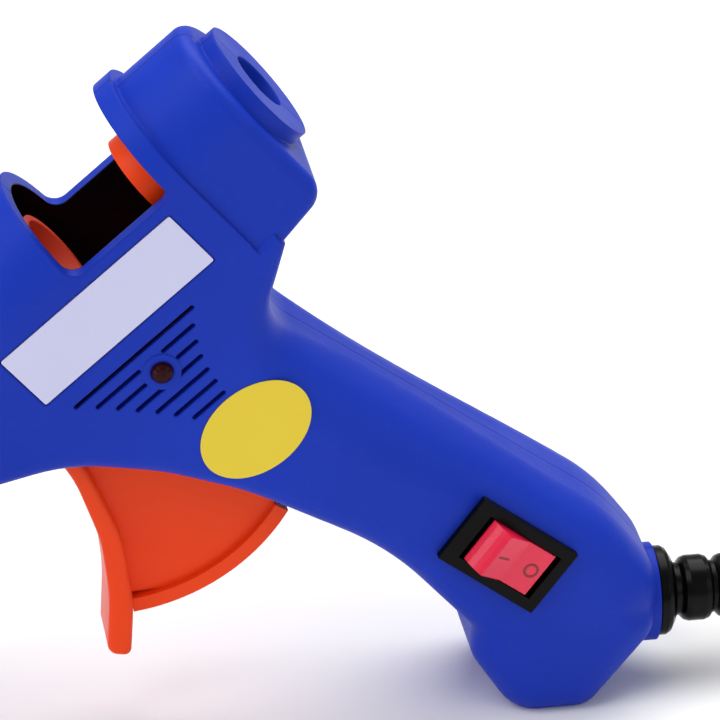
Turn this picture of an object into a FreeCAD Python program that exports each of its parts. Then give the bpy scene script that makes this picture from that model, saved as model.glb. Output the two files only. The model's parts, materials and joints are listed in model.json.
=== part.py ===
"""Hobby hot-melt glue gun for 7 mm sticks, built as the pieces it comes apart into.

The gun is drawn in its own barrel frame: x runs back along the stick bore from the rear face,
z is square to it and up, and y crosses the gun with the switch side at -y.  One placement then
tilts everything nose-down until the handle's foot and the wire stand rest on z = 0.
"""
import FreeCAD
import Part
import math
import os
import re

V = FreeCAD.Vector
Rotation = FreeCAD.Rotation
Placement = FreeCAD.Placement

SIZES = {
    # stance
    "tilt": 40.79, "rear_over_floor": 95.4, "centre_shift": 2.945,
    # casing
    "half_width": 12.5, "wall": 2.2, "seam": 0.06, "edge_round": 7.4, "belly_round": 2.6, "foot_round": 4.6,
    "barrel_top": 13.5, "barrel_front": 84.0, "nose_front": 94.0, "nose_radius": 10.5,
    "window_front": 34.8, "window_rear": 17.1, "window_floor": 0.9,
    "flange_rear": 14.2, "flange_top": 14.3,
    "block_half": 12.0, "block_top": 12.75, "block_rear": 2.2, "block_round": 2.0,
    "boss_radius": 9.4, "stick_bore": 4.35,
    # trigger and feed
    "pivot_back": 48.9, "pivot_drop": 22.3, "pin_radius": 1.5, "running": 0.05,
    "rim_radius": 29.6, "rim_depth": 2.1, "rim_half": 3.7, "pad_half": 5.3, "web_half": 2.6,
    "arm_length": 12.8, "drive_radius": 1.25, "ring_radius": 7.1, "ring_width": 3.6,
    "ring_bore": 4.6, "tongue_half": 4.6,
    # hot end
    "chamber_radius": 7.2, "spigot_radius": 5.0, "stick_path": 3.8, "sleeve_radius": 6.2,
    "nozzle_tip": 128.0,
    # stand
    "stand_back": 80.0, "stand_drop": 8.0, "stand_wire": 1.1, "stand_half": 15.3,
    "stand_lean": 6.0, "stand_bend": 5.0,
    # switch
    "bezel_long": 16.7, "bezel_wide": 10.9, "bezel_proud": 1.2,
    # cord
    "cord_radius": 2.6, "cord_height": 11.8, "hank_x": 148.0, "hank_y": 7.6, "hank_run": 60.0,
    "hank_low": 0.5, "hank_high": 10.9,
}

os.makedirs("parts", exist_ok=True)
doc = FreeCAD.newDocument("glue_gun")
sheet = doc.addObject("Spreadsheet::Sheet", "sizes")
for row, (alias, value) in enumerate(SIZES.items(), start=1):
    sheet.set(f"A{row}", alias)
    sheet.set(f"B{row}", str(value))
    sheet.setAlias(f"B{row}", alias)
doc.recompute()

SHORT = {"x": "Placement.Base.x", "y": "Placement.Base.y", "z": "Placement.Base.z"}
nodes = {}
counter = [0]


def size(alias):
    return float(sheet.get(alias))


def bind(obj, **rules):
    """Tie properties to the sheet: a rule is a number or arithmetic on the sheet's aliases."""
    for name, rule in rules.items():
        text = re.sub(r"[a-z_]{3,}", lambda w: f"sizes.{w.group()}", str(rule))
        obj.setExpression(SHORT.get(name, name), text)
    return obj


def fresh(kind, stem):
    counter[0] += 1
    return doc.addObject(kind, f"{stem}_{counter[0]}")


# ---------------------------------------------------------------- solids in the barrel frame
AXES = {"x": Rotation(V(0, 1, 0), 90), "y": Rotation(V(1, 0, 0), -90), "z": Rotation()}


def rod(axis, radius, length, x=0, y=0, z=0):
    """Cylinder that starts at (x, y, z) and runs towards + along one axis."""
    obj = fresh("Part::Cylinder", "rod")
    obj.Placement = Placement(V(0, 0, 0), AXES[axis])
    return bind(obj, Radius=radius, Height=length, x=x, y=y, z=z)


def block(x0, x1, y0, y1, z0, z1):
    obj = fresh("Part::Box", "block")
    return bind(obj, x=x0, y=y0, z=z0, Length=f"({x1}) - ({x0})", Width=f"({y1}) - ({y0})",
                Height=f"({z1}) - ({z0})")


def rounded(corners):
    """Edges of a closed outline of (u, v, radius) corners; each radius is a tangent arc."""
    points = [V(u, v, 0) for u, v, _ in corners]
    count = len(points)
    starts, ends, arcs = [], [], []
    for i, (_, _, radius) in enumerate(corners):
        here = points[i]
        back = (points[i - 1] - here).normalize()
        ahead = (points[(i + 1) % count] - here).normalize()
        if radius == 0:
            starts.append(here)
            ends.append(here)
            arcs.append(None)
            continue
        half = back.getAngle(ahead) / 2
        first = here + back * (radius / math.tan(half))
        last = here + ahead * (radius / math.tan(half))
        centre = here + (back + ahead).normalize() * (radius / math.sin(half))
        middle = centre + (here - centre).normalize() * radius
        starts.append(first)
        ends.append(last)
        arcs.append(Part.Arc(first, middle, last))
    edges = []
    for i in range(count):
        if arcs[i]:
            edges.append(arcs[i])
        following = starts[(i + 1) % count]
        if (following - ends[i]).Length > 1e-6:
            edges.append(Part.LineSegment(ends[i], following))
    return edges


def side_sketch(corners):
    """Sketch of a rounded outline in the x-z plane of the barrel frame."""
    sketch = fresh("Sketcher::SketchObject", "side")
    sketch.Placement = Placement(V(0, 0, 0), Rotation(V(1, 0, 0), 90))
    sketch.addGeometry(rounded(corners), False)
    return sketch


def across(profile, half):
    """Extrude a side outline to both sides of the centre plane."""
    obj = fresh("Part::Extrusion", "across")
    obj.Base = profile
    obj.DirMode = "Custom"
    obj.Dir = V(0, 1, 0)
    obj.Symmetric = True
    obj.Solid = True
    return bind(obj, LengthFwd=f"2 * ({half})")


def between(profile, y0, y1):
    """Extrude a side outline from y0 to y1."""
    obj = fresh("Part::Extrusion", "between")
    obj.Base = profile
    obj.DirMode = "Custom"
    obj.Dir = V(0, 1, 0)
    obj.Solid = True
    return bind(obj, LengthFwd=f"({y1}) - ({y0})", y=y0)


def fuse(*parts):
    obj = fresh("Part::MultiFuse", "fuse")
    obj.Shapes = list(parts)
    return obj


def common(*parts):
    obj = fresh("Part::MultiCommon", "common")
    obj.Shapes = list(parts)
    return obj


def cut(base, *tools):
    obj = fresh("Part::Cut", "cut")
    obj.Base = base
    obj.Tool = tools[0] if len(tools) == 1 else fuse(*tools)
    return obj


def softened(base, radius, chosen):
    """Fillet the edges of base that the function chosen accepts; radius is a number or a rule."""
    rule = radius if callable(radius) else lambda vertex: radius
    doc.recompute()
    obj = fresh("Part::Fillet", "softened")
    obj.Base = base
    obj.Edges = [(i, rule(edge.Vertexes[0]), rule(edge.Vertexes[-1]))
                 for i, edge in enumerate(base.Shape.Edges, start=1) if chosen(edge)]
    return obj


def turned(profile):
    """Revolve a closed (x, radius) profile about the x axis, as a PartDesign body."""
    body = fresh("PartDesign::Body", "turned")
    plane = next(f for f in body.Origin.OriginFeatures if f.Role == "XZ_Plane")
    sketch = body.newObject("Sketcher::SketchObject", f"{body.Name}_profile")
    sketch.AttachmentSupport = [(plane, "")]
    sketch.MapMode = "FlatFace"
    for i, (x, r) in enumerate(profile):
        x2, r2 = profile[(i + 1) % len(profile)]
        sketch.addGeometry(Part.LineSegment(V(x, r, 0), V(x2, r2, 0)), False)
    turn = body.newObject("PartDesign::Revolution", f"{body.Name}_turn")
    turn.Profile = sketch
    turn.ReferenceAxis = (sketch, ["H_Axis"])
    turn.Angle = 360
    body.Tip = turn
    return body


def plate(corners, y0, y1):
    """PartDesign body: a side outline padded from y0 to y1."""
    body = fresh("PartDesign::Body", "plate")
    plane = next(f for f in body.Origin.OriginFeatures if f.Role == "XZ_Plane")
    sketch = body.newObject("Sketcher::SketchObject", f"{body.Name}_outline")
    sketch.AttachmentSupport = [(plane, "")]
    sketch.MapMode = "FlatFace"
    sketch.addGeometry(rounded(corners), False)
    pad = body.newObject("PartDesign::Pad", f"{body.Name}_pad")
    pad.Profile = sketch
    pad.Reversed = True
    bind(pad, Length=f"({y1}) - ({y0})")
    body.Tip = pad
    bind(body, y=y0)
    return body


def round_wire(points, radii, wire_radius):
    """Solid wire or cord along straight runs joined by tangent arcs."""
    edges = []
    last = points[0]
    for i in range(1, len(points) - 1):
        here = points[i]
        back = (points[i - 1] - here).normalize()
        ahead = (points[i + 1] - here).normalize()
        half = back.getAngle(ahead) / 2
        reach = radii[i - 1] / math.tan(half)
        first = here + back * reach
        after = here + ahead * reach
        centre = here + (back + ahead).normalize() * (radii[i - 1] / math.sin(half))
        middle = centre + (here - centre).normalize() * radii[i - 1]
        if (first - last).Length > 1e-4:
            edges.append(Part.LineSegment(last, first).toShape())
        edges.append(Part.Arc(first, middle, after).toShape())
        last = after
    edges.append(Part.LineSegment(last, points[-1]).toShape())
    path = Part.Wire(edges)
    section = Part.Wire(Part.makeCircle(wire_radius, points[0], points[1] - points[0]))
    solid = path.makePipeShell([section], True, True)
    expected = math.pi * wire_radius ** 2 * path.Length
    if abs(solid.Volume / expected - 1) > 0.01:
        raise ValueError("a wire's volume is not its section times its length")
    return solid, path.Length


# ---------------------------------------------------------------- stance
angle = math.radians(size("tilt"))
COS, SIN = math.cos(angle), math.sin(angle)
STANCE = Placement(V(size("centre_shift"), 0, size("rear_over_floor")), Rotation(V(0, 1, 0), -size("tilt")))
LEVEL = Rotation(V(0, 1, 0), size("tilt"))


def from_floor(x, z):
    """Barrel-frame (x, z) of a point given level: x from the rear face, z above the floor."""
    drop = z - size("rear_over_floor")
    return x * COS + drop * SIN, -x * SIN + drop * COS


def node(label, obj, place=STANCE):
    """Name a finished sub-part and set it in the gun's stance."""
    doc.recompute()
    for path, _ in obj.ExpressionEngine:
        if "Placement" in path:
            obj.setExpression(path, None)
    obj.Label = label
    obj.Placement = place.multiply(obj.Placement)
    nodes[label] = obj
    return obj


def several(*parts):
    """Identical loose pieces kept together as one sub-part."""
    obj = fresh("Part::Compound", "several")
    obj.Links = list(parts)
    return obj


def shaped(solid, stem="wire"):
    obj = fresh("Part::Feature", stem)
    obj.Shape = solid
    return obj


# ---------------------------------------------------------------- casing forms
CORE = [
    (-74.0, -9.7, 0), (-54.1, -19.9, 25), (-45.9, -29.7, 40), (-39.6, -40.6, 40), (-32.2, -62.1, 45),
    (-31.9, -80.5, 3), (-35.2, -83.8, 4.8), (-36.8, -95.2, 6.5), (-28.6, -102.2, 4.8),
    (-14.6, -99.7, 5.5), (-8.2, -95.0, 8), (-7.2, -82.5, 30), (-21.6, -23.5, 8.5),
]
NECK = [(-11.0, -15.5, 0), (-11.0, -13.0, 0), (-14.3, -13.0, 0), (-14.3, 1.0, 0), (-74.0, 1.0, 0)]
NECK_INSIDE = [(-14.3, -18.0, 0), (-14.3, 1.0, 0), (-74.0, 1.0, 0)]
BLOCK_SIDE = [(-20.0, 20.0, 0), (-20.0, -17.0, 0), (-2.2, -14.0, 3.6), (-2.2, 20.0, 0)]


def arch(half, top, x0, x1, foot):
    """Tunnel shape along x: flat sides under a half-round top."""
    dome = rod("x", half, f"({x1}) - ({x0})", x=x0, z=f"({top}) - ({half})")
    walls = block(x0, x1, f"-({half})", half, foot, f"({top}) - ({half})")
    return fuse(dome, walls)


def barrel(inset, front, rear):
    """Round barrel with flat flanks: two rods a little apart and the slab between them."""
    half = f"half_width - {inset}"
    lift = "barrel_top - half_width"
    length = f"({rear}) - ({front})"
    upper = rod("x", half, length, x=front, z=lift)
    lower = rod("x", half, length, x=front, z=f"-({lift})")
    slab = block(front, rear, f"-({half})", half, f"-({lift})", lift)
    return fuse(upper, lower, slab)


def core(inset):
    outline = side_sketch(CORE + (NECK_INSIDE if inset else NECK))
    if inset:
        inner = fresh("Part::Offset2D", "inset")
        inner.Source = outline
        inner.Value = -size("wall")
        outline = inner
    solid = across(outline, f"half_width - {inset}")
    half = size("half_width") - (size("wall") if inset else 0)

    def on_flank(edge):
        flat = all(abs(abs(v.Point.y) - half) < 1e-4 for v in edge.Vertexes)
        middle = edge.valueAt((edge.FirstParameter + edge.LastParameter) / 2)
        upright = all(abs(v.Point.x - edge.Vertexes[0].Point.x) < 1e-4 for v in edge.Vertexes)
        return flat and middle.z < -8 and not (upright and middle.x > -17)

    def grip_round(vertex):
        """Full round over the handle, easing off at the neck, under the handle and at the foot."""
        x, z = vertex.Point.x, vertex.Point.z
        full = size("edge_round")
        if size("rear_over_floor") + x * SIN + z * COS < 14.0:
            radius = size("foot_round")
        elif x > -28.0:
            radius = 1.0 + (full - 1.0) * min(max((-z - 15.0) / 15.0, 0.0), 1.0)
        else:
            radius = size("belly_round") + 1.6 * min(max((-z - 42.0) / 18.0, 0.0), 1.0)
        return max(radius - size("wall"), 0.4) if inset else radius

    return softened(solid, grip_round, on_flank)


def rear_block(inset):
    tunnel = arch(f"block_half - {inset}", f"block_top - {inset}", "-20", f"-block_rear - {inset}",
                  "-30")
    outline = side_sketch(BLOCK_SIDE)
    if inset:
        inner = fresh("Part::Offset2D", "inset")
        inner.Source = outline
        inner.Value = -size("wall")
        outline = inner
    solid = common(tunnel, across(outline, "half_width"))
    if inset:
        return solid
    back = -size("block_rear")

    def on_back(edge):
        return all(v.Point.x > back - 4.6 for v in edge.Vertexes) and not all(
            abs(abs(v.Point.y)) < 11 and v.Point.z < 0 for v in edge.Vertexes)

    return softened(solid, size("block_round"), on_back)



def floor_cut(height):
    """Everything below a level plane, as a cutting tool."""
    x, z = from_floor(-150, height - 60)
    obj = fresh("Part::Box", "floor")
    obj.Placement = Placement(V(x, -40, z), LEVEL)
    return bind(obj, Length=300, Width=80, Height=60)


def level_rod(radius, x0, x1, y=0, z=None):
    """Cylinder along the level cord direction, from x0 to x1, at height z above the floor."""
    px, pz = from_floor(x0, size("cord_height") if z is None else z)
    obj = fresh("Part::Cylinder", "level")
    obj.Placement = Placement(V(px, y, pz), LEVEL.multiply(AXES["x"]))
    return bind(obj, Radius=radius, Height=f"({x1}) - ({x0})")


def slab_nose(inset, front):
    """Flat wedge that joins the two halves of the nose."""
    flank = size("half_width") - inset
    tip = size("nose_radius") - inset
    run = (size("nose_front") - size("barrel_front"))
    end = flank - (flank - tip) * (-front - size("barrel_front")) / run
    back = -size("barrel_front")
    sketch = fresh("Sketcher::SketchObject", "wedge")
    ring = [V(back, -flank, 0), V(front, -end, 0), V(front, end, 0), V(back, flank, 0)]
    sketch.addGeometry([Part.LineSegment(a, b) for a, b in zip(ring, ring[1:] + ring[:1])], False)
    obj = fresh("Part::Extrusion", "wedge")
    obj.Base = sketch
    obj.DirMode = "Custom"
    obj.Dir = V(0, 0, 1)
    obj.Symmetric = True
    obj.Solid = True
    return bind(obj, LengthFwd="2 * (barrel_top - half_width)")


def nose(inset, front):
    """Short cone from the barrel down to the nozzle opening."""
    reach = (-front - size("barrel_front")) / (size("nose_front") - size("barrel_front"))
    wide = size("half_width") - inset
    narrow = wide + (size("nose_radius") - size("half_width")) * reach
    cones = []
    for sign in (1, -1):
        cone = fresh("Part::Cone", "nose")
        cone.Placement = Placement(V(0, 0, 0), Rotation(V(0, 1, 0), -90))
        cones.append(bind(cone, x="-barrel_front", z=f"{sign} * (barrel_top - half_width)",
                          Radius1=wide, Radius2=narrow, Height=-front - size("barrel_front")))
    return fuse(*cones, slab_nose(inset, front))


# ---------------------------------------------------------------- the two casing halves
PIVOT = (-size("pivot_back"), -size("pivot_drop"))
SCREWS = [(-9.6, -11.6), (-62.5, -11.8), (-22.6, -45.0), (-29.9, -90.5)]
STAND = (-size("stand_back"), -size("stand_drop"))
SWITCH = Placement(V(-20.1, 0, -73.3), Rotation(V(0, 1, 0), 77.8))
LAMP = (-35.3, -17.5)
CLAMP_X, CLAMP_Z = 44.1, (17.2, 6.4)


def in_switch(obj):
    """Move a solid drawn about the switch's own centre onto the handle's flank."""
    doc.recompute()
    for path, _ in obj.ExpressionEngine:
        if "Placement" in path:
            obj.setExpression(path, None)
    obj.Placement = SWITCH.multiply(obj.Placement)
    return obj


def outer_form():
    boss = rod("x", "boss_radius", "block_rear + 1", x="-block_rear - 1")
    flange = arch("half_width", "flange_top", "-window_rear", "-flange_rear", "-12")
    lip = level_rod(7.05, 48.5, 56.1)
    pivots = [rod("y", 3.4, 2 * 13.4, x=STAND[0], y=-13.4, z=STAND[1])]
    return fuse(core(0), barrel(0, "-barrel_front", "-window_rear"), nose(0, -size("nose_front")),
                flange, rear_block(0), boss, lip, *pivots)


def inner_form():
    wall = size("wall")
    hollow = fuse(core("wall"), barrel("wall", "-barrel_front", "-window_rear"),
                  nose(wall, -size("nose_front") + wall), rear_block("wall"))
    return cut(hollow, floor_cut(wall))


def vent_slots():
    """Seven slots under the label; two of them stop short of the lamp boss."""
    left = [-47.4, -45.3, -43.5, -41.8, -40.1, -38.6, -37.1]
    right = [-25.7, -27.4, -28.7, -29.7, -30.4, -30.8, -31.2]
    gaps = {1: (-37.2, -33.4), 2: (-38.0, -32.6)}
    half, pitch, top = 0.34, 2.11, -13.2
    slots = []
    for i, (x0, x1) in enumerate(zip(left, right)):
        z = top - pitch * i
        pieces = [(x0, x1)] if i not in gaps else [(x0, gaps[i][0]), (gaps[i][1], x1)]
        for a, b in pieces:
            outline = [(a, z - half, half * 0.9), (b, z - half, half * 0.9),
                       (b, z + half, half * 0.9), (a, z + half, half * 0.9)]
            slots.append(across(side_sketch(outline), 20))
    return slots


def mirror_rod(radius, near, far, x, z, side):
    """Cylinder across the gun from y = near to y = far, on the side -1 or +1."""
    start = near if side > 0 else -far
    return rod("y", radius, far - near, x=x, y=start, z=z)


def side_block(x0, x1, near, far, z0, z1, side):
    y0, y1 = (near, far) if side > 0 else (-far, -near)
    return block(x0, x1, y0, y1, z0, z1)


def casing(side, outer, inner):
    """One half of the clamshell: side -1 carries the switch and label, side +1 the screws."""
    gap = size("seam") / 2
    window = across(side_sketch([(-size("window_front"), size("window_floor"), 2.2),
                                 (-size("window_rear"), size("window_floor"), 1.6),
                                 (-size("window_rear"), 30, 0), (-size("window_front"), 30, 0)]), 20)
    pad_slot = across(side_sketch([(-68.3, -10.6, 0), (-68.3, -24, 0), (-52.5, -34, 0),
                                   (-52.5, -17.5, 0)]), 6.3)
    rim_zone = across(side_sketch([(-53, -17, 0), (-53, -40, 0), (-45, -58, 0), (-33, -54, 0),
                                   (-34.2, -46, 0), (-38.2, -36, 0), (-44.5, -26.5, 0)]), 4.4)
    rim_slot = common(rim_zone, rod("y", "rim_radius + 0.5", 20, x=PIVOT[0], y=-10, z=PIVOT[1]))
    openings = [window, pad_slot, rim_slot,
                rod("x", "stick_bore", 12, x=-8), rod("x", 7.8, 8, x=-97),
                level_rod(4.7, 46, 60), floor_cut(0)] + vent_slots()
    half_space = side_block(-120, 80, gap, 40, -140, 60, side)
    skin = cut(common(cut(outer, inner), half_space), *openings)

    supports = [block(-86.2, -84.8, -20, 20, -20, 20), block(-57.0, -55.6, -20, 20, -5, 20),
                block(-6.6, -5.4, -20, 20, -12, 6)]
    chamber_ribs = cut(common(fuse(*supports), inner, half_space),
                       rod("x", "chamber_radius + 0.1", 60, x=-100), rod("x", "stick_bore", 12, x=-8))
    rail = common(side_block(-41, -23, 3.4, 11, -14.7, -13.55, side), inner)
    bosses, holes = [], []
    for x, z in SCREWS:
        bosses.append(mirror_rod(2.4, gap, 11, x, z, side))
        if side > 0:
            bosses.append(mirror_rod(3.4, 8.3, 11, x, z, side))
            holes += [mirror_rod(1.4, -1, 14, x, z, side), mirror_rod(2.6, 9.15, 14, x, z, side)]
        else:
            holes.append(mirror_rod(1.22, -1, 8, x, z, side))
    bosses.append(mirror_rod(3.2, 4.2, 11, *PIVOT, side))
    holes.append(mirror_rod("pin_radius + 0.02", 3, 10.2, *PIVOT, side))
    bosses.append(mirror_rod(3.0, 8.6, 12, *STAND, side))
    holes.append(mirror_rod("stand_wire + running", 8, 20, *STAND, side))
    if side > 0:
        bosses.append(rod("y", 1.5, 13.5, x=-22.0, y=-2.5, z=-15.7))
        for height in CLAMP_Z:
            x, z = from_floor(CLAMP_X, height)
            bosses.append(rod("y", 2.2, 11.0, x=x, y=0.1, z=z))
            holes.append(rod("y", 1.02, 9, x=x, y=-2, z=z))
    if side < 0:
        skin = fuse(skin, rod("y", 2.65, 2.6, x=LAMP[0], y=-12.65, z=LAMP[1]))
        holes.append(rod("y", 1.55, 8, x=LAMP[0], y=-15, z=LAMP[1]))
        holes.append(between(side_sketch([(-49.9, -10.2, 0.4), (-19.0, -10.2, 0.4), (-19.0, -0.75, 0.4),
                                          (-49.9, -0.75, 0.4)]), -14, -12.15))
        holes.append(in_switch(block(-7.0, 7.0, -20, -5, -4.3, 4.3)))
    return cut(fuse(skin, chamber_ribs, rail, common(fuse(*bosses), outer)), *holes)


outer = outer_form()
inner = inner_form()
node("near_shell", casing(-1, outer, inner))
node("far_shell", casing(1, outer, inner))


# ---------------------------------------------------------------- screws
def case_screw(x, z):
    shank = rod("y", 1.2, 16.7, x=x, y=-7.5, z=z)
    head = rod("y", 2.5, 1.7, x=x, y=9.2, z=z)
    slot = fuse(block(x - 1.5, x + 1.5, 10.0, 12, z - 0.3, z + 0.3),
                block(x - 0.3, x + 0.3, 10.0, 12, z - 1.5, z + 1.5))
    return cut(fuse(shank, head), slot)


node("case_screws", several(*[case_screw(x, z) for x, z in SCREWS]))

# ---------------------------------------------------------------- trigger
PX, PZ = PIVOT


def about_pivot(radius, degrees):
    """Point at a radius from the trigger's pin; degrees run from straight down towards the rear."""
    a = math.radians(degrees)
    return PX + radius * math.sin(a), PZ - radius * math.cos(a)


def arc_strip(inner_radius, outer_radius, start, end):
    """Ring sector about the trigger's pin, as a face bounded by two true arcs."""
    def at(radius, degrees):
        x, z = about_pivot(radius, degrees)
        return V(x, z, 0)
    half = (start + end) / 2
    sketch = fresh("Sketcher::SketchObject", "sector")
    sketch.Placement = Placement(V(0, 0, 0), Rotation(V(1, 0, 0), 90))
    sketch.addGeometry([
        Part.Arc(at(outer_radius, start), at(outer_radius, half), at(outer_radius, end)),
        Part.LineSegment(at(outer_radius, end), at(inner_radius, end)),
        Part.Arc(at(inner_radius, end), at(inner_radius, half), at(inner_radius, start)),
        Part.LineSegment(at(inner_radius, start), at(outer_radius, start)),
    ], False)
    return sketch


RIM_START, RIM_END = -34.0, 18.5
PAD = [
    (-56.2, -19.6, 1.0), (-57.2, -25.5, 20), (-60.9, -34.8, 22), (-65.8, -41.9, 30), (-72.3, -48.7, 1.6),
    (-70.1, -51.3, 1.0), (-64.2, -45.3, 30), (-58.4, -36.6, 22), (-54.9, -26.0, 20), (-53.4, -19.0, 0.8),
]
BEAK = [(-64.6, -13.7, 0.5), (-64.9, -16.2, 0.9), (-57.6, -21.0, 2.0), (-54.0, -22.0, 0), (-54.0, -18.3, 0)]
WEB = [
    (-55.0, -19.5, 0), (-56.4, -26.0, 20), (-59.6, -35.6, 22), (-65.0, -43.6, 0),
    about_pivot(27.0, -34.0) + (0,), about_pivot(28.6, -17.0) + (0,), about_pivot(28.6, 0.0) + (0,),
    about_pivot(28.6, 12.0) + (0,), about_pivot(28.2, RIM_END) + (0,), (-43.5, -30.0, 6),
    (-45.6, -19.5, 3),
]
rim = across(arc_strip(size("rim_radius") - size("rim_depth"), size("rim_radius"), RIM_START, RIM_END),
             "rim_half")
pad_edges = softened(across(side_sketch(PAD), "pad_half"), 0.9,
                     lambda e: all(abs(abs(v.Point.y) - size("pad_half")) < 1e-4 for v in e.Vertexes))
beak = across(side_sketch(BEAK), "pad_half")
web = across(side_sketch(WEB), "web_half")
hub = rod("y", 4.0, 7.8, x=PX, y=-3.9, z=PZ)
arm_top = PZ + size("arm_length")
arm = across(side_sketch([(PX - 3.6, PZ, 0), (PX + 3.6, PZ, 0), (PX + 2.6, arm_top + 2.6, 2.5),
                          (PX - 2.6, arm_top + 2.6, 2.5)]), 1.9)
trigger_form = cut(fuse(pad_edges, beak, web, rim, hub, arm),
                   rod("y", "pin_radius + running", 20, x=PX, y=-10, z=PZ),
                   rod("y", "drive_radius + 0.01", 20, x=PX, y=-10, z=arm_top))
node("trigger", trigger_form)


def pin(radius, half, x, z):
    """Plain pin across the gun with chamfered ends, as a turned body."""
    body = turned([(-half, 0), (-half, radius - 0.25), (-half + 0.25, radius), (half - 0.25, radius),
                   (half, radius - 0.25), (half, 0)])
    body.Placement = Placement(V(x, 0, z), Rotation(V(0, 0, 1), 90))
    return body


node("trigger_pin", pin(size("pin_radius"), 9.9, PX, PZ))
node("drive_pin", pin(size("drive_radius"), 5.4, PX, arm_top))

# ---------------------------------------------------------------- feed carriage and stick grip
ring = cut(rod("x", "ring_radius", "ring_width", x=-20.9), rod("x", "ring_bore", 10, x=-25))
neck = cut(block(-20.9, -17.3, -4.5, 4.5, -12.6, -5), rod("x", "ring_bore", 10, x=-25))
tongue = block(-43.6, -17.3, "-tongue_half", "tongue_half", -13.2, -11.4)
fork_side = side_sketch([(-52.5, -12.9, 1.2), (-43.5, -13.4, 0), (-43.5, -7.2, 1.5), (-52.5, -7.2, 1.5)])
cheeks = cut(across(fork_side, "tongue_half"), block(-60, -43.9, -2.3, 2.3, -20, 0))
slot = across(side_sketch([(PX - 1.45, -13.0, 1.44), (PX + 1.45, -13.0, 1.44), (PX + 1.45, -8.0, 1.44),
                           (PX - 1.45, -8.0, 1.44)]), 6)
ear_side = side_sketch([(-26.6, -12.0, 0), (-22.4, -12.0, 0), (-22.4, -7.2, 1.9), (-26.6, -7.2, 1.9)])
ears = cut(across(ear_side, 3.2), block(-30, -20.91, -1.7, 1.7, -11.4, 0))
lug = block(-38.5, -36.6, -1.4, 1.4, -17.4, -13.0)
GRIP = (-24.5, -9.0)
node("feed_carriage", cut(fuse(ring, neck, tongue, cheeks, ears, lug), slot,
                          rod("y", 0.81, 20, x=GRIP[0], y=-10, z=GRIP[1])))
grip_side = side_sketch([(-26.2, -10.0, 0.5), (-22.9, -10.6, 0.8), (-22.9, -7.8, 1.0), (-25.6, -4.0, 0.3),
                         (-26.2, -4.6, 0.1), (-26.5, -4.1, 0.1), (-27.1, -4.7, 0.1), (-27.4, -4.2, 0.1)])
node("grip_lever", cut(across(grip_side, 1.35), rod("y", 0.81, 20, x=GRIP[0], y=-10, z=GRIP[1])))
node("grip_pin", pin(0.78, 3.2, *GRIP))
SPRING = (-36.5, -23.6, -15.6)
node("return_spring", cut(rod("x", 2.0, SPRING[1] - SPRING[0], x=SPRING[0], z=SPRING[2]),
                          rod("x", 1.3, 40, x=-50, z=SPRING[2])))

# ---------------------------------------------------------------- hot end
node("inlet_sleeve", turned([
    (-51.9, 5.02), (-51.9, 6.2), (-40.0, 6.2), (-38.0, 7.0), (-36.4, 7.0), (-36.4, 6.0), (-38.4, 3.95),
    (-39.9, 3.9), (-39.9, 5.02)]))
node("sleeve_clamp", turned([(-44.8, 6.22), (-44.8, 6.8), (-42.6, 6.8), (-42.6, 6.22)]))
barrel_profile = [(-98.0, 3.02), (-98.0, 5.5), (-90.3, 5.5), (-90.3, 7.2), (-65.0, 7.2)]
for groove in (-65.0, -62.6, -60.2):
    barrel_profile += [(groove, 6.2), (groove + 1.2, 6.2), (groove + 1.2, 7.2), (groove + 2.4, 7.2)]
barrel_profile = barrel_profile[:-1] + [(-52.0, 7.2), (-52.0, 5.0), (-40.0, 5.0), (-40.0, 4.3),
                                        (-40.8, 3.8), (-87.0, 3.8), (-90.0, 2.0), (-91.9, 2.0),
                                        (-91.9, 3.02)]
seat = block(-83, -66, -5.2, 5.2, -9.9, -5.0)
pocket = block(-90, -60, -4.65, 4.65, -9.25, -6.75)
node("melt_chamber", cut(fuse(turned(barrel_profile), seat), pocket))
tabs = [block(-67.5, -63.3, y - 0.9, y + 0.9, -8.5, -8.1) for y in (-3.1, 3.1)]
node("ptc_heater", fuse(block(-82, -67, -4.6, 4.6, -9.2, -6.8), *tabs))
hexagon = fresh("Part::Prism", "hexagon")
hexagon.Polygon = 6
hexagon.Placement = Placement(V(-104, 0, 0), AXES["x"])
bind(hexagon, Circumradius=5.6, Height=6)
spout = turned([(-128, 0.7), (-128, 1.5), (-127.4, 1.8), (-106, 4.6), (-104, 4.6), (-104, 5.0),
                (-98, 5.0), (-98, 3.0), (-92.0, 3.0), (-92.0, 1.9), (-110, 1.9), (-124, 0.7)])
node("nozzle", fuse(spout, cut(hexagon, rod("x", 1.9, 20, x=-108))))
node("nozzle_collar", turned([
    (-101.0, 5.75), (-101.0, 7.9), (-100.4, 8.3), (-94.1, 9.6), (-94.1, 7.6), (-91.7, 7.6),
    (-91.7, 8.1), (-90.6, 8.1), (-90.6, 5.75)]))

# ---------------------------------------------------------------- label, sticker and pilot lamp
plate_outline = [(-49.7, -10.0, 0.3), (-19.2, -10.0, 0.3), (-19.2, -0.95, 0.3), (-49.7, -0.95, 0.3)]
node("rating_label", plate(plate_outline, -12.55, -12.15))
oval = fresh("Part::Ellipse", "oval")
oval.Placement = Placement(V(-32.1, 0, -33.2), Rotation(V(1, 0, 0), 90))
bind(oval, MajorRadius=8.5, MinorRadius=6.3)
oval_sheet = fresh("Part::Extrusion", "oval_sheet")
oval_sheet.Base = oval
oval_sheet.DirMode = "Custom"
oval_sheet.Dir = V(0, 1, 0)
oval_sheet.Solid = True
bind(oval_sheet, LengthFwd=0.15, y="-half_width - 0.15")
node("oval_sticker", oval_sheet)
lens = turned([(0, 0), (0, 1.5), (4.6, 1.5), (5.1, 1.35), (5.5, 0.9), (5.65, 0)])
lens.Placement = Placement(V(LAMP[0], -8.2, LAMP[1]), Rotation(V(0, 0, 1), -90))
node("indicator_lens", lens)
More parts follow.
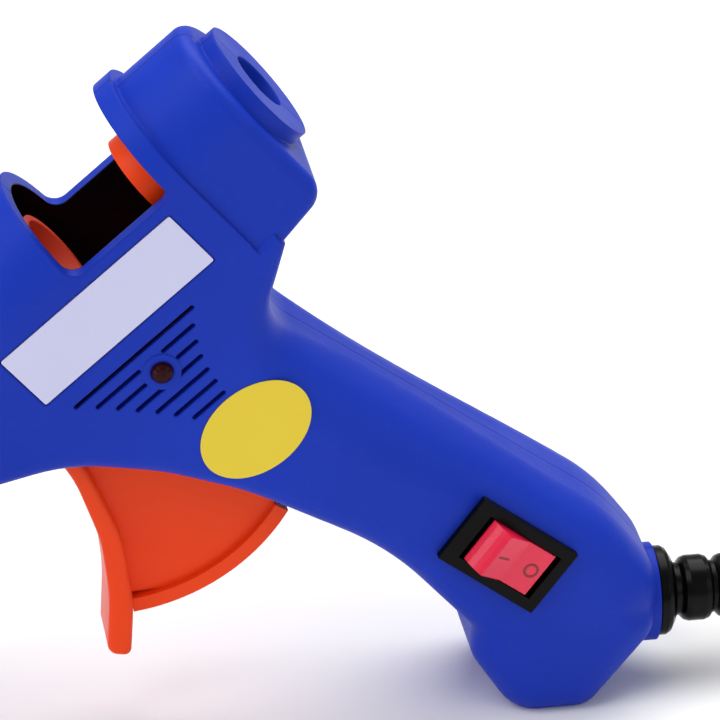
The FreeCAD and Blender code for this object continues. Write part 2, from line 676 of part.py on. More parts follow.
node("led_board", plate([(-39.0, -21.6, 0.5), (-31.4, -21.6, 0.5), (-31.4, -15.3, 0.5),
                         (-39.0, -15.3, 0.5)], -8.2, -7.1))
body = turned([(-3.0, 0), (-3.0, 0.3), (-2.0, 0.3), (-2.0, 1.0), (2.0, 1.0), (2.0, 0.3), (3.0, 0.3),
               (3.0, 0)])
body.Placement = Placement(V(-34.6, -6.1, -18.4), Rotation())
node("resistor", body)

# ---------------------------------------------------------------- rocker switch
face = -size("half_width") - size("bezel_proud")
bezel = cut(softened(block("0.3 - bezel_long / 2 - 0.6", "bezel_long / 2 - 0.3", "-half_width - bezel_proud",
                           "-half_width", "-bezel_wide / 2", "bezel_wide / 2"), 0.15,
                     lambda e: min(v.Point.y for v in e.Vertexes) < face + 0.01),
            block(-6.3, 6.3, -20, 0, -3.75, 3.75))
can = cut(block(-6.8, 6.8, -12.5, -2.5, -4.2, 4.2), block(-6.3, 6.3, -20, -7.2, -3.75, 3.75))
axle_hole = rod("z", 1.0, 8.0, y=-11.0, z=-4.0)
node("switch_housing", in_switch(cut(fuse(bezel, can), axle_hole)))

TILT = 16.5
AXLE = -11.0


def rocker_point(x, up):
    """Point of the rocker's end view at rest: the foot end of the key is the one pressed in."""
    a = math.radians(TILT)
    return x * math.cos(a) + up * math.sin(a), AXLE + x * math.sin(a) - up * math.cos(a)


key = fresh("Sketcher::SketchObject", "key")
end_arc = [(6.03 * math.cos(math.radians(t)), 6.03 * math.sin(math.radians(t))) for t in (8, 18, 28, 36, 43.4)]
outline = end_arc + [(0.0, 3.0)] + [(-x, up) for x, up in reversed(end_arc)]
outline += [(-3.2, -0.9), (0.0, -1.6), (3.2, -0.9)]
ring_points = [V(*rocker_point(*p), 0) for p in outline]
key.addGeometry([Part.LineSegment(a, b) for a, b in zip(ring_points, ring_points[1:] + ring_points[:1])],
                False)
rocker = fresh("Part::Extrusion", "rocker")
rocker.Base = key
rocker.DirMode = "Custom"
rocker.Dir = V(0, 0, 1)
rocker.Symmetric = True
rocker.Solid = True
bind(rocker, LengthFwd=7.1)
node("switch_rocker", in_switch(fuse(rocker, rod("z", 0.95, 7.8, y=AXLE, z=-3.9))))
blades = [in_switch(block(x - 0.4, x + 0.4, -2.5, 4.2, -2.3, 2.3)) for x in (-3.5, 3.5)]
node("switch_terminals", several(*blades))

# ---------------------------------------------------------------- cord entry
relief = [(46.5, 2.65), (46.5, 5.2), (47.9, 5.2), (47.9, 4.3), (56.2, 4.3), (56.2, 6.3), (56.4, 6.45),
          (57.5, 6.45), (58.1, 6.1), (58.8, 4.9), (59.0, 3.95)]
for i in range(6):
    start = 59.9 + 5.2 * i
    r = 4.75 - 0.13 * i
    relief += [(start, 3.75), (start + 0.1, r - 0.7), (start + 0.5, r - 0.25), (start + 1.2, r),
               (start + 3.4, r), (start + 4.1, r - 0.25), (start + 4.5, r - 0.7), (start + 4.6, 3.75)]
relief += [(92.0, 3.6), (92.0, 2.65)]
LEVEL_LINE = Placement(V(size("centre_shift"), 0, size("cord_height")), Rotation())
node("strain_relief", turned(relief), LEVEL_LINE)


def level_block(x0, x1, y0, y1, z0, z1):
    """Block drawn square to the level cord line, heights measured from the cord's axis."""
    obj = block(0, x1 - x0, y0, y1, 0, z1 - z0)
    doc.recompute()
    for path, _ in obj.ExpressionEngine:
        if "Placement" in path:
            obj.setExpression(path, None)
    px, pz = from_floor(x0, size("cord_height") + z0)
    obj.Placement = Placement(V(px, y0, pz), LEVEL)
    return obj


clamp_holes = []
clamp_screws = []
for height in CLAMP_Z:
    x, z = from_floor(CLAMP_X, height)
    clamp_holes.append(rod("y", 1.2, 10, x=x, y=-6, z=z))
    clamp_screws.append(fuse(rod("y", 1.0, 10.2, x=x, y=-4.5, z=z), rod("y", 1.9, 1.3, x=x, y=-5.7, z=z)))
node("cord_clamp", cut(level_block(CLAMP_X - 1.9, CLAMP_X + 1.9, -4.4, 0.08, -7.6, 7.6),
                       level_rod(2.62, CLAMP_X - 5, CLAMP_X + 5), *clamp_holes))
node("clamp_screws", several(*clamp_screws))

# ---------------------------------------------------------------- wires inside
LEAD = 0.8


def lead(label, points, bend=2.0):
    """Insulated lead through corner points, every corner rounded to one bend."""
    route = [V(*p) for p in points]
    radii = []
    for i in range(1, len(route) - 1):
        half = (route[i - 1] - route[i]).getAngle(route[i + 1] - route[i]) / 2
        room = 0.45 * min((route[i - 1] - route[i]).Length, (route[i + 1] - route[i]).Length)
        radii.append(min(bend, room * math.tan(half)))
    solid, _ = round_wire(route, radii, LEAD)
    node(label, shaped(solid))


lead("heater_lead_near", [(-63.3, -3.1, -8.3), (-61.6, -3.3, -8.3), (-60.4, -8.2, -8.3),
                          (-44.6, -8.2, -8.3), (-42.0, -8.2, -22.0), (-32.0, -8.2, -44.0),
                          (-26.5, -7.0, -57.0), (-24.0, 3.0, -62.0), (-21.6, 4.0, -67.6)])
lead("heater_lead_far", [(-63.3, 3.1, -8.3), (-61.6, 3.3, -8.3), (-60.4, 8.2, -8.3), (-44.6, 8.2, -8.3),
                         (-42.0, 8.2, -22.0), (-32.0, 8.2, -42.0), (-27.8, 5.4, -51.0)])
cx, cz = from_floor(CLAMP_X - 1.9, size("cord_height"))
lead("neutral_lead", [(cx - 1.3, 1.1, cz + 0.9), (cx - 2.6, 2.0, cz + 2.6), (-27.4, 5.4, -78.0),
                      (-27.8, 5.4, -60.2)])
lead("live_lead", [(cx - 0.9, -1.0, cz + 1.2), (cx - 1.6, -1.0, cz + 2.4), (-22.5, 3.5, -81.5),
                   (-19.6, 5.1, -77.0)])
crimp = turned([(-4.6, 0.82), (-4.6, 2.1), (4.2, 2.1), (4.6, 1.7), (4.6, 0.82)])
crimp.Placement = Placement(V(-27.8, 5.4, -55.6), Rotation(V(0, 1, 0), 90))
node("end_crimp", crimp)

# ---------------------------------------------------------------- wire stand
half = size("stand_half")
sx, sz = STAND
pivot_level_x = sx * COS - sz * SIN
fx, fz = from_floor(pivot_level_x + size("stand_lean"), size("stand_wire"))
bend = size("stand_bend")
stand_route = [V(sx, -9.4, sz), V(sx, -half, sz), V(fx, -half, fz), V(fx, half, fz), V(sx, half, sz),
               V(sx, 9.4, sz)]
stand_solid, stand_length = round_wire(stand_route, [2.4, bend, bend, 2.4], size("stand_wire"))
node("wire_stand", shaped(stand_solid))

# ---------------------------------------------------------------- cord, hank and plug (level frame)
FLOOR = Placement()
cord_height = size("cord_height")
hank_x, hank_y, hank_run = size("hank_x"), size("hank_y"), size("hank_run")
near_line = hank_y - 21.4
cord_route = [V(size("centre_shift") + CLAMP_X - 1.9, 0, cord_height), V(105, 0, cord_height),
              V(131, near_line, 3.1), V(hank_x, near_line, 3.1)]
cord_radii = [34.8, 26.6]
cord_solid, cord_length = round_wire(cord_route, cord_radii, size("cord_radius"))
node("cord", shaped(cord_solid, "cord"), FLOOR)
tail_route = [V(131.5, hank_y - 11.6, 9.0), V(148, hank_y - 20.6, 13.5), V(172, hank_y, 17.4),
              V(190, hank_y, 17.4)]
tail_radii = [21.0, 21.0]
tail_solid, tail_length = round_wire(tail_route, tail_radii, size("cord_radius"))
node("cord_tail", shaped(tail_solid, "cord"), FLOOR)
print("cord bends", cord_radii, "tail bends", tail_radii, "lengths", round(cord_length), round(tail_length))


def racetrack(radius):
    """Long round-ended outline of the hank in plan, extruded to the hank's height."""
    sketch = fresh("Sketcher::SketchObject", "racetrack")
    x0, x1 = hank_x, hank_x + hank_run
    low, high = hank_y - radius, hank_y + radius
    sketch.addGeometry([
        Part.LineSegment(V(x0, low, 0), V(x1, low, 0)),
        Part.Arc(V(x1, low, 0), V(x1 + radius, hank_y, 0), V(x1, high, 0)),
        Part.LineSegment(V(x1, high, 0), V(x0, high, 0)),
        Part.Arc(V(x0, high, 0), V(x0 - radius, hank_y, 0), V(x0, low, 0)),
    ], False)
    obj = fresh("Part::Extrusion", "racetrack")
    obj.Base = sketch
    obj.DirMode = "Custom"
    obj.Dir = V(0, 0, 1)
    obj.Solid = True
    return bind(obj, LengthFwd="hank_high - hank_low", z="hank_low")


hank = softened(cut(racetrack(24.0), racetrack(13.6)), 2.4,
                lambda e: max(v.Point.z for v in e.Vertexes) - min(v.Point.z for v in e.Vertexes) < 1e-4)
node("cord_hank", hank, FLOOR)
ties = []
tie_x = hank_x + hank_run / 2
for side in (-1, 1):
    y = hank_y + side * 18.8
    ties.append(cut(block(tie_x - 2.5, tie_x + 2.5, y - 5.7, y + 5.7, 0, 11.45),
                    block(tie_x - 4, tie_x + 4, y - 5.25, y + 5.25, 0.45, 10.95)))
node("hank_ties", several(*ties), FLOOR)
flat = fresh("Sketcher::SketchObject", "plug")
flat.addGeometry(rounded([(0, -4.6, 0.8), (12.0, -6.6, 12), (20.0, -17.6, 6), (33.0, -17.6, 3),
                          (33.0, 17.6, 3), (20.0, 17.6, 6), (12.0, 6.6, 12), (0, 4.6, 0.8)]), False)
plug = fresh("Part::Extrusion", "plug")
plug.Base = flat
plug.DirMode = "Custom"
plug.Dir = V(0, 0, 1)
plug.Symmetric = True
plug.Solid = True
bind(plug, LengthFwd=13.0)
plug.Placement = Placement(V(190, hank_y, 17.4), Rotation())
node("plug_body", plug, FLOOR)
pins = []
for dy in (-9.3, 9.3):
    body = turned([(0, 0), (0, 2.0), (17.6, 2.0), (19.0, 1.0), (19.0, 0)])
    body.Placement = Placement(V(223, hank_y + dy, 17.4), Rotation())
    pins.append(body)
node("plug_pins", several(*pins), FLOOR)

# ---------------------------------------------------------------- checks and export
doc.recompute()
broken = [o.Name for o in doc.Objects if "Invalid" in o.State or "Error" in o.State]
if broken:
    raise ValueError(f"features in error: {broken}")
for label, obj in nodes.items():
    if obj.Shape.isNull() or not obj.Shape.isValid() or not obj.Shape.Solids:
        raise ValueError(f"{label} has no valid solid")
    box = obj.Shape.BoundBox
    print(f"{label:18s} solids {len(obj.Shape.Solids)}  volume {obj.Shape.Volume:9.1f}  "
          f"x {box.XMin:7.2f} {box.XMax:7.2f}  y {box.YMin:7.2f} {box.YMax:7.2f}  z {box.ZMin:7.2f} {box.ZMax:7.2f}")
    obj.Shape.exportStep(f"parts/{label}.step")
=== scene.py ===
import bpy
import bmesh
import json
import math
from mathutils import Matrix, Vector


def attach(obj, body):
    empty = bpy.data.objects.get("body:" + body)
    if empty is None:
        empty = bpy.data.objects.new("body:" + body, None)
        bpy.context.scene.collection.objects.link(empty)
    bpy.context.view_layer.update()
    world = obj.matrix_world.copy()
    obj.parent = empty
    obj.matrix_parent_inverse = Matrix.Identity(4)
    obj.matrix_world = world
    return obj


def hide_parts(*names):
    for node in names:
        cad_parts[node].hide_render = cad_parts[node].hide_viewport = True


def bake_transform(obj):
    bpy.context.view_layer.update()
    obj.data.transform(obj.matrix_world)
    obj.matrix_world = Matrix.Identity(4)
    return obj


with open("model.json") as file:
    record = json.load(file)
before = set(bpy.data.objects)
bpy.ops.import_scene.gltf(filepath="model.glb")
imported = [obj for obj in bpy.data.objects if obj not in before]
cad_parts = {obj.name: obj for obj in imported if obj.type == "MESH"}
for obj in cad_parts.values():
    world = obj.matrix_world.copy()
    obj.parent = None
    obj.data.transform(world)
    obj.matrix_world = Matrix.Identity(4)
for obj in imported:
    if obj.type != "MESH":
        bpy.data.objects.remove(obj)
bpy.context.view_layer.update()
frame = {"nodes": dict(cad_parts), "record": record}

nodes = frame["nodes"]
scene = bpy.context.scene
MM = 0.001

# The barrel frame of part.py: x back along the bore from the rear face, z square to it and up.
TILT = math.radians(40.79)
REAR = Vector((2.945, 0.0, 95.4)) * MM
STANCE = Matrix.Translation(REAR) @ Matrix.Rotation(-TILT, 4, "Y")


def at(x, y, z):
    """World point of a barrel-frame point in mm."""
    return STANCE @ (Vector((x, y, z)) * MM)


# ---------------------------------------------------------------- camera
LENS, EYE = 243.1, (-0.07783, -0.59259, 0.35764)
LOOK_DOWN, LOOK_RIGHT = math.radians(26.97), math.radians(9.06)
camera_data = bpy.data.cameras.new("camera")
camera_data.sensor_width = 36.0
camera_data.lens = LENS
camera_data.clip_end = 20.0
camera = bpy.data.objects.new("camera", camera_data)
camera.location = EYE
camera.rotation_euler = (math.pi / 2 - LOOK_DOWN, 0.0, -LOOK_RIGHT)
scene.collection.objects.link(camera)
scene.camera = camera


# ---------------------------------------------------------------- cord, hank and plug
CORD_RADIUS = 2.6 * MM
HANK_X, HANK_Y, HANK_RUN = 148.0, 7.6, 60.0
LOW_LAYER, HIGH_LAYER = 3.1, 8.3
WIDE, TIGHT = 21.4, 16.2
BEND_SWELL = 1.035  # control points of a bend lie outside the curve they make
CLIMB_FROM, CLIMB_OVER = 0.85, 0.7  # shares of the run on which a loop changes layer
EXIT = (94.945, 0.0, 11.8)
PLUG = Vector((190.0, HANK_Y, 17.4))


def bend(centre_x, radius, height, angles):
    """Control points round one end of the hank."""
    reach = radius * BEND_SWELL
    return [(centre_x + reach * math.cos(math.radians(a)), HANK_Y + reach * math.sin(math.radians(a)), height)
            for a in angles]


def hank_loops():
    """Four long loops: wide and tight on the floor, then tight and wide on top of them."""
    points = []
    plan = [(WIDE, TIGHT, LOW_LAYER, LOW_LAYER), (TIGHT, TIGHT, LOW_LAYER, HIGH_LAYER),
            (TIGHT, WIDE, HIGH_LAYER, HIGH_LAYER), (WIDE, WIDE, HIGH_LAYER, HIGH_LAYER)]
    for radius, next_radius, height, next_height in plan:
        points += [(HANK_X + HANK_RUN * x, HANK_Y - radius, height) for x in (0.0, 0.5, 1.0)]
        points += bend(HANK_X + HANK_RUN, radius, height, (-60, -30, 0, 30, 60))
        for x in (1.0, 0.75, 0.5, 0.25, 0.0):
            part = min(max((CLIMB_FROM - x) / CLIMB_OVER, 0.0), 1.0)
            points.append((HANK_X + HANK_RUN * x, HANK_Y + radius + (next_radius - radius) * part,
                           height + (next_height - height) * part))
        points += bend(HANK_X, next_radius, next_height, (120, 150, 180, 210, 240))
    return points


# Down from the guard to the floor, round the hank, then over its top to the plug.
route = [EXIT, (100.0, 0.0, 11.8), (107.0, -0.8, 11.3), (117.0, -6.0, 7.4), (128.0, -12.2, 3.4),
         (136.0, HANK_Y - WIDE, LOW_LAYER)]
route += hank_loops()[:-3]
route += [(127.0, 6.0, 10.0), (131.0, -6.0, 12.8), (141.0, -12.2, 13.7), (152.0, -11.6, 14.2),
          (164.0, -3.0, 16.2), (174.0, 5.8, 17.4), (183.0, HANK_Y, 17.4), (191.0, HANK_Y, 17.4)]
cord_curve = bpy.data.curves.new("mains_cord", "CURVE")
cord_curve.dimensions = "3D"
cord_curve.bevel_depth = 1.0  # times each point's radius
cord_curve.bevel_resolution = 6
cord_curve.resolution_u = 6
spline = cord_curve.splines.new("NURBS")
spline.points.add(len(route) - 1)
for point, place in zip(spline.points, route):
    point.co = (*[c * MM for c in place], 1.0)
    point.radius = CORD_RADIUS
spline.order_u = 3
spline.use_endpoint_u = True
mains_cord = bpy.data.objects.new("mains_cord", cord_curve)
scene.collection.objects.link(mains_cord)
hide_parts("cord", "cord_hank", "cord_tail")
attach(mains_cord, "gun_body")


def link(name, mesh, body, replaces=()):
    """Put a finished mesh in the scene as a piece of one body."""
    obj = bpy.data.objects.new(name, mesh)
    scene.collection.objects.link(obj)
    if body:
        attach(obj, body)
    if replaces:
        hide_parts(*replaces)
    return obj


def mesh_from(bm, name, smooth=True):
    bmesh.ops.recalc_face_normals(bm, faces=bm.faces)
    mesh = bpy.data.meshes.new(name)
    bm.to_mesh(mesh)
    bm.free()
    for polygon in mesh.polygons:
        polygon.use_smooth = smooth
    return mesh


def loft(name, rings):
    """Closed skin over equal-length rings of world points."""
    bm = bmesh.new()
    grid = [[bm.verts.new(p) for p in ring] for ring in rings]
    for a, b in zip(grid, grid[1:]):
        for i in range(len(a)):
            j = (i + 1) % len(a)
            bm.faces.new((a[i], a[j], b[j], b[i]))
    bm.faces.new(grid[0])
    bm.faces.new(grid[-1])
    return mesh_from(bm, name)


def superellipse(centre, half_y, half_z, power, count=40):
    ring = []
    for i in range(count):
        a = 2 * math.pi * i / count
        c, s = math.cos(a), math.sin(a)
        ring.append(Vector((centre[0], centre[1] + half_y * math.copysign(abs(c) ** power, c),
                            centre[2] + half_z * math.copysign(abs(s) ** power, s))) * MM)
    return ring


def plug_mesh():
    """Moulded two-pin plug: ribbed neck, shoulders and a flat front."""
    stations = [(0.0, 3.2, 3.2, 1.0), (0.4, 4.2, 3.9, 1.0)]
    for i in range(4):
        x = 1.2 + 2.4 * i
        stations += [(x, 4.5, 4.2, 0.95), (x + 0.25, 4.1, 3.8, 0.95), (x + 1.0, 4.1, 3.8, 0.95),
                     (x + 1.25, 4.6, 4.3, 0.95)]
    stations += [(11.5, 5.6, 5.0, 0.8), (14.5, 9.0, 5.9, 0.6), (17.5, 13.6, 6.2, 0.45),
                 (20.5, 16.4, 6.35, 0.38), (24.0, 17.2, 6.4, 0.34), (29.0, 17.4, 6.4, 0.32),
                 (31.8, 17.4, 6.4, 0.32), (32.6, 17.1, 6.15, 0.32), (33.0, 16.4, 5.5, 0.34)]
    rings = [superellipse((PLUG.x + x, PLUG.y, PLUG.z), hy, hz, power) for x, hy, hz, power in stations]
    return loft("plug_moulding", rings)


plug = link("plug_moulding", plug_mesh(), "gun_body", ["plug_body"])


# ---------------------------------------------------------------- materials
def srgb(text):
    """Linear colour of a hex colour."""
    values = [int(text[i:i + 2], 16) / 255 for i in (0, 2, 4)]
    return tuple(v / 12.92 if v <= 0.04045 else ((v + 0.055) / 1.055) ** 2.4 for v in values) + (1.0,)


class Surface:
    """A procedural material: base colour with slow and fast variation, roughness and grain."""

    def __init__(self, name):
        self.name = name
        self.material = bpy.data.materials.new(f"{name}_finish")
        self.material.use_nodes = True
        self.tree = self.material.node_tree
        self.shader = self.tree.nodes["Principled BSDF"]
        self.coords = self.tree.nodes.new("ShaderNodeTexCoord").outputs["Object"]
        self.normal = None

    def node(self, kind, **values):
        made = self.tree.nodes.new(kind)
        for key, value in values.items():
            if key in made.inputs:
                made.inputs[key].default_value = value
            else:
                setattr(made, key, value)
        return made

    def join(self, out, into):
        self.tree.links.new(out, into)

    def noise(self, scale, detail=3.0, stretch=None):
        made = self.node("ShaderNodeTexNoise", Scale=scale, Detail=detail)
        if stretch:
            mapping = self.node("ShaderNodeMapping")
            mapping.inputs["Scale"].default_value = stretch
            self.join(self.coords, mapping.inputs["Vector"])
            self.join(mapping.outputs["Vector"], made.inputs["Vector"])
        else:
            self.join(self.coords, made.inputs["Vector"])
        return made.outputs["Fac"]

    def remap(self, value, low, high, out_low, out_high):
        made = self.node("ShaderNodeMapRange")
        limits = {"From Min": low, "From Max": high, "To Min": out_low, "To Max": out_high}
        for name, number in limits.items():
            made.inputs[name].default_value = number
        self.join(value, made.inputs["Value"])
        return made.outputs["Result"]

    def blend(self, fac, a, b):
        """Mix two colours by a socket; each is a colour or a socket."""
        made = self.node("ShaderNodeMix", data_type="RGBA")
        slots = [s for s in made.inputs if s.type == "RGBA"]
        for given, into in ((a, slots[0]), (b, slots[1])):
            if isinstance(given, tuple):
                into.default_value = given
            else:
                self.join(given, into)
        self.join(fac, made.inputs["Factor"])
        return [s for s in made.outputs if s.type == "RGBA"][0]

    def math(self, operation, a, b=0.0):
        made = self.node("ShaderNodeMath", operation=operation)
        for given, into in ((a, made.inputs[0]), (b, made.inputs[1])):
            if isinstance(given, (int, float)):
                into.default_value = given
            else:
                self.join(given, into)
        return made.outputs["Value"]

    def rounded_edges(self, radius):
        self.normal = self.node("ShaderNodeBevel", samples=6, Radius=radius).outputs["Normal"]
        self.join(self.normal, self.shader.inputs["Normal"])

    def bump(self, height, distance):
        made = self.node("ShaderNodeBump", Distance=distance, Strength=1.0)
        self.join(height, made.inputs["Height"])
        if self.normal:
            self.join(self.normal, made.inputs["Normal"])
        self.normal = made.outputs["Normal"]
        self.join(self.normal, self.shader.inputs["Normal"])

    def colour(self, source):
        if isinstance(source, tuple):
            self.shader.inputs["Base Color"].default_value = source
        else:
            self.join(source, self.shader.inputs["Base Color"])

    def set(self, **values):
        for key, value in values.items():
            self.shader.inputs[key.replace("_", " ")].default_value = value

    def paint_bore_shade(self, radius, lift, pocket, front, back, shade):
        """Painted shade: colour the walls inside the stick window near-black, near the bore's centres and in
        the pocket below, where the blue plastic lies in shadow.
        """
        mapping = self.node("ShaderNodeMapping", vector_type="TEXTURE")
        mapping.inputs["Location"].default_value = REAR
        mapping.inputs["Rotation"].default_value = (0.0, -TILT, 0.0)
        self.join(self.coords, mapping.inputs["Vector"])
        split = self.node("ShaderNodeSeparateXYZ")
        self.join(mapping.outputs["Vector"], split.inputs["Vector"])
        x, y, z = split.outputs
        over = self.math("MAXIMUM", self.math("SUBTRACT", self.math("ABSOLUTE", z), lift), 0.0)
        reach = self.math("SQRT", self.math("ADD", self.math("POWER", y, 2.0), self.math("POWER", over, 2.0)))
        bore = self.remap(reach, radius, radius * 1.012, 1.0, 0.0)
        below = self.math("MULTIPLY", self.math("LESS_THAN", z, 0.0), self.math("GREATER_THAN", z, -pocket))
        inside = self.math("MULTIPLY", below, self.math("LESS_THAN", self.math("ABSOLUTE", y), radius * 1.12))
        near = self.math("MAXIMUM", bore, inside)
        length = self.math("MULTIPLY", self.math("GREATER_THAN", x, front), self.math("LESS_THAN", x, back))
        base = self.shader.inputs["Base Color"].links[0].from_socket
        self.colour(self.blend(self.math("MULTIPLY", near, length), base, shade))


def moulded(name, base, dark, light, rough=(0.38, 0.5), grain=1500.0, depth=0.00003, edges=0.0003,
            specular=0.5):
    """Injection-moulded plastic: fine spark-erosion grain, slow cloudiness, light specks, rounded edges."""
    s = Surface(name)
    if edges:
        s.rounded_edges(edges)
    cloud = s.remap(s.noise(28.0, 4.0), 0.3, 0.7, 0.0, 1.0)
    mottled = s.blend(cloud, base, dark)
    speck = s.remap(s.noise(900.0, 2.0), 0.6, 0.8, 0.0, 0.1)
    s.colour(s.blend(speck, mottled, light))
    s.join(s.remap(s.noise(120.0, 3.0), 0.3, 0.7, *rough), s.shader.inputs["Roughness"])
    s.bump(s.noise(grain, 2.0), depth)
    s.set(Specular_IOR_Level=specular)
    return s


def metal(name, base, dark, rough=(0.22, 0.36), stretch=(1.0, 1.0, 1.0), scale=400.0, depth=0.000015,
          stain=0.35):
    """Bare or plated metal with directional marks and slightly dull patches."""
    s = Surface(name)
    s.set(Metallic=1.0)
    patches = s.remap(s.noise(90.0, 5.0), 0.4, 0.75, 0.0, stain)
    s.colour(s.blend(patches, base, dark))
    marks = s.noise(scale, 4.0, stretch)
    s.join(s.remap(marks, 0.3, 0.7, *rough), s.shader.inputs["Roughness"])
    s.bump(marks, depth)
    return s


blue = moulded("blue_shell", srgb("1236B6"), srgb("1031AB"), srgb("2C4CC2"), rough=(0.42, 0.52),
               grain=2300.0, depth=0.00003, edges=0.0005, specular=0.15)
# painted shade: the blue walls inside the stick window get a near-black colour for the shadow in the hollow
# shells
blue.paint_bore_shade(radius=10.36 * MM, lift=1.0 * MM, pocket=14.0 * MM, front=-60.0 * MM, back=-16.5 * MM,
                 shade=(0.0001, 0.0001, 0.002, 1.0))
orange = moulded("orange_part", srgb("FF4A10"), srgb("F8420C"), srgb("FF6428"), rough=(0.32, 0.44),
                 grain=900.0, depth=0.00001, edges=0.00025, specular=0.2)
silicone = moulded("orange_silicone", srgb("E5421B"), srgb("CE3814"), srgb("F06038"), rough=(0.5, 0.65),
                   grain=700.0, depth=0.00001)
black = moulded("black_plastic", srgb("040405"), srgb("030304"), srgb("0C0C0E"), rough=(0.35, 0.45),
                grain=1800.0, depth=0.00002, edges=0.0001, specular=0.1)
rubber = moulded("black_rubber", srgb("040404"), srgb("030303"), srgb("0C0C0D"), rough=(0.2, 0.3),
                 grain=420.0, depth=0.00002, edges=0.0002, specular=0.12)
red = moulded("red_key", srgb("EE1C48"), srgb("E01840"), srgb("F8486A"), rough=(0.2, 0.3),
              grain=600.0, depth=0.000006, edges=0.0003)
lens = moulded("red_lens", srgb("330709"), srgb("220305"), srgb("5A1214"), rough=(0.08, 0.16), edges=0.0002,
               grain=300.0, depth=0.000004, specular=0.1)
white = moulded("label_white", srgb("D2D2F2"), srgb("CCCCED"), srgb("DEDEF7"), rough=(0.3, 0.4),
                grain=1200.0, depth=0.000004, edges=0.0)
yellow = moulded("sticker_yellow", srgb("E8CC1E"), srgb("E0C218"), srgb("F0DA40"), rough=(0.3, 0.42),
                 grain=1200.0, depth=0.000004, edges=0.0)
clear = moulded("crimp_clear", srgb("DAD9D2"), srgb("C9C7BE"), srgb("EFEEE8"), rough=(0.3, 0.4))
board = moulded("board_green", srgb("1D5C34"), srgb("164A29"), srgb("3C8A58"), rough=(0.25, 0.4))
tan = moulded("resistor_tan", srgb("C9A778"), srgb("B8935F"), srgb("DFC69E"), rough=(0.3, 0.45))
ceramic = moulded("ceramic_heater", srgb("B9853B"), srgb("A8752E"), srgb("D6A65C"), rough=(0.2, 0.35))
lead_white = moulded("lead_white", srgb("DEDDD6"), srgb("CFCDC4"), srgb("F2F1EC"), rough=(0.5, 0.65),
                     grain=1400.0, depth=0.00003)
lead_blue = moulded("lead_blue", srgb("2C4F9E"), srgb("24438A"), srgb("4A6DB8"), rough=(0.3, 0.4))
lead_brown = moulded("lead_brown", srgb("5A3418"), srgb("4B2A12"), srgb("7A4E2C"), rough=(0.3, 0.4))
steel = metal("steel", srgb("C9C8C4"), srgb("8C8A84"), stretch=(1.0, 6.0, 1.0))
wire = metal("steel_wire", srgb("D4D4D2"), srgb("9A9995"), rough=(0.14, 0.26), stretch=(3.0, 1.0, 0.6))
cast = metal("cast_aluminium", srgb("B9B9B8"), srgb("7D7C7A"), rough=(0.42, 0.6), scale=260.0,
             depth=0.00006)
brass = metal("brass", srgb("D2A85C"), srgb("9B7434"), rough=(0.18, 0.32), stretch=(5.0, 1.0, 5.0))
tinned = metal("terminal_brass", srgb("D9CFB4"), srgb("A1966F"), rough=(0.25, 0.4))
nickel = metal("pin_nickel", srgb("D6D2C8"), srgb("A29C8E"), rough=(0.12, 0.22), stretch=(4.0, 1.0, 4.0))

by_slot = {s.name: s.material for s in
           (blue, orange, silicone, black, rubber, red, lens, white, yellow, clear, board, tan, ceramic,
            lead_white, lead_blue, lead_brown, steel, wire, cast, brass, tinned, nickel)}


def dress(obj, slot):
    obj.data.materials.clear()
    obj.data.materials.append(by_slot[slot])


for entry in frame["record"]["subparts"]:
    dress(nodes[entry["node"]], entry["material_slot"])
dress(mains_cord, "black_rubber")
dress(plug, "black_rubber")


# ---------------------------------------------------------------- return spring
def spring_mesh():
    """Tension spring: close coils along the barrel direction, with an open hook at each end."""
    front, back, height = -36.55, -22.0, -15.6
    radius, wire_radius, turns = 1.72, 0.26, 14
    start, stop = front + 1.9, back - 3.2
    hook_steps, turn_steps, wire_sides = 10, 18, 8
    line = []
    for i in range(hook_steps):
        a = math.pi * 1.15 * i / hook_steps
        line.append((front + 0.95 - 1.35 * math.sin(a), -0.1, height - 1.35 * math.cos(a)))
    for i in range(turns * turn_steps + 1):
        a = 2 * math.pi * i / turn_steps
        line.append((start + (stop - start) * i / (turns * turn_steps), radius * math.sin(a),
                     height + radius * math.cos(a)))
    for i in range(1, hook_steps + 1):
        a = math.pi * 1.5 * i / hook_steps
        line.append((back - 1.4 + 1.85 * (1 - math.cos(a)) / 1.2, 0.0, height + 1.85 * math.sin(a)))
    points = [at(*p) for p in line]
    round_wire = [2 * math.pi * k / wire_sides for k in range(wire_sides)]
    rings = []
    side = Vector((0, 1, 0))
    for i, p in enumerate(points):
        ahead = (points[min(i + 1, len(points) - 1)] - points[max(i - 1, 0)]).normalized()
        side = (side - ahead * side.dot(ahead)).normalized()
        up = ahead.cross(side)
        rings.append([p + (side * math.cos(a) + up * math.sin(a)) * wire_radius * MM for a in round_wire])
    return loft("tension_spring", rings)


spring = link("tension_spring", spring_mesh(), None, ["return_spring"])
dress(spring, "steel_wire")
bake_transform(spring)

# ---------------------------------------------------------------- marks on the rocker
SWITCH = (STANCE @ Matrix.Translation(Vector((-20.1, 0, -73.3)) * MM)
          @ Matrix.Rotation(math.radians(77.8), 4, "Y"))
AXLE_Y, KEY_TILT, FACE_RISE, FACE_SLOPE = -11.0, math.radians(16.5), 3.0, 1.143 / 4.381
MARK_RISE = 0.05
RING_AT, RING_INNER, RING_OUTER = 2.75, 0.78, 1.12
BAR_FAR, BAR_NEAR, BAR_HALF = -3.7, -1.5, 0.16


def on_rocker(u, v, lift):
    """World point on the key's face: u along it towards the foot, v across it, in mm."""
    up = FACE_RISE + FACE_SLOPE * abs(u) + lift
    x = u * math.cos(KEY_TILT) + up * math.sin(KEY_TILT)
    y = AXLE_Y + u * math.sin(KEY_TILT) - up * math.cos(KEY_TILT)
    return SWITCH @ (Vector((x, y, v)) * MM)


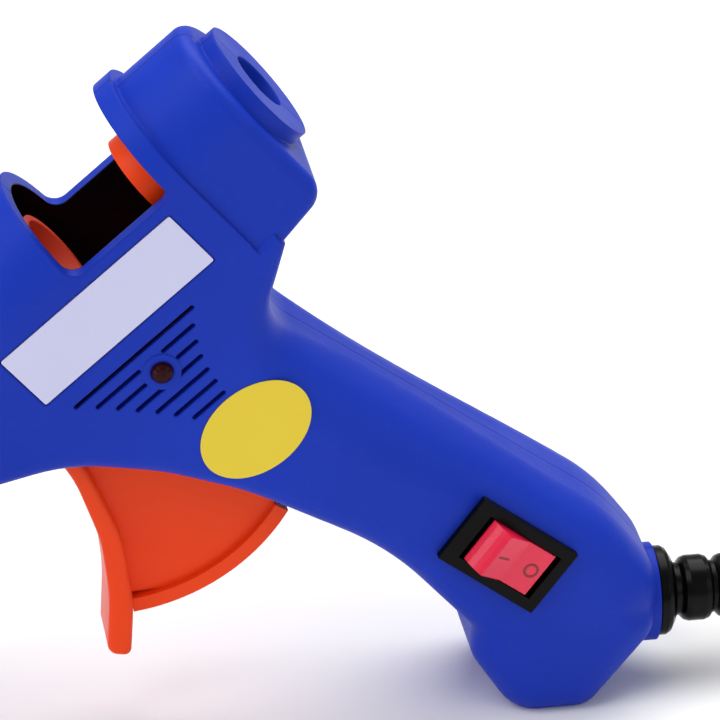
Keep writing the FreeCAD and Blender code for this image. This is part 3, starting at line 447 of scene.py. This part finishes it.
def rocker_marks():
    """A ring at the off end and a bar at the on end, moulded a hair proud of the key."""
    bm = bmesh.new()
    steps = 40

    def strip(inner, outer):
        for i in range(len(inner)):
            j = (i + 1) % len(inner)
            bm.faces.new([bm.verts.new(p) for p in (inner[i], inner[j], outer[j], outer[i])])

    def lifted(outline, lift):
        return [on_rocker(u, v, lift) for u, v in outline]

    turns = [2 * math.pi * i / steps for i in range(steps)]
    inner, outer = [[(RING_AT + radius * 0.95 * math.cos(a), radius * math.sin(a)) for a in turns]
                    for radius in (RING_INNER, RING_OUTER)]
    bar = [(BAR_FAR, -BAR_HALF), (BAR_NEAR, -BAR_HALF), (BAR_NEAR, BAR_HALF), (BAR_FAR, BAR_HALF)]
    strip(lifted(inner, MARK_RISE), lifted(outer, MARK_RISE))
    for outline in (inner, outer):
        strip(lifted(outline, 0.0), lifted(outline, MARK_RISE))
    bm.faces.new([bm.verts.new(p) for p in lifted(bar, MARK_RISE)])
    strip(lifted(bar, 0.0), lifted(bar, MARK_RISE))
    bmesh.ops.remove_doubles(bm, verts=bm.verts, dist=1e-7)
    return mesh_from(bm, "rocker_marks", smooth=False)


marks = link("rocker_marks", rocker_marks(), "rocker_body")
mark_paint = moulded("mark_paint", srgb("8E0F1A"), srgb("7C0B15"), srgb("B02030"), rough=(0.3, 0.4),
                     edges=0.0)
marks.data.materials.append(mark_paint.material)

# ---------------------------------------------------------------- floor and light
floor_mesh = bpy.data.meshes.new("floor")
bm = bmesh.new()
bmesh.ops.create_grid(bm, x_segments=2, y_segments=2, size=6.0)
bm.to_mesh(floor_mesh)
bm.free()
floor = bpy.data.objects.new("floor", floor_mesh)
scene.collection.objects.link(floor)
paper = Surface("paper")
paper.colour(srgb("FBFBF9"))
paper.set(Roughness=0.6, Specular_IOR_Level=0.25)
floor_mesh.materials.append(paper.material)

world = bpy.data.worlds.new("studio")
world.use_nodes = True
world.node_tree.nodes["Background"].inputs["Color"].default_value = (0.96, 0.96, 1.0, 1.0)
world.node_tree.nodes["Background"].inputs["Strength"].default_value = 0.42
scene.world = world


def softbox(name, place, target, size, power, tint=(1.0, 1.0, 1.0)):
    data = bpy.data.lights.new(name, "AREA")
    data.shape = "RECTANGLE"
    data.size, data.size_y = size
    data.energy = power
    data.color = tint
    lamp = bpy.data.objects.new(name, data)
    lamp.location = place
    lamp.rotation_euler = (Vector(target) - Vector(place)).to_track_quat("-Z", "Y").to_euler()
    scene.collection.objects.link(lamp)


softbox("key", (-0.5, -0.2, 0.9), (0.0, 0.0, 0.05), (0.7, 0.7), 4.5)
softbox("side", (-0.95, -0.25, 0.2), (-0.03, 0.0, 0.04), (0.4, 0.3), 1.5)
softbox("fill", (0.8, -0.75, 0.55), (0.03, 0.0, 0.05), (0.8, 0.6), 1.6, (0.95, 0.96, 1.0))
softbox("top", (0.3, 0.45, 0.95), (0.0, 0.05, 0.0), (1.1, 0.8), 9.5)

scene.view_settings.view_transform = "Standard"
scene.view_settings.look = "None"
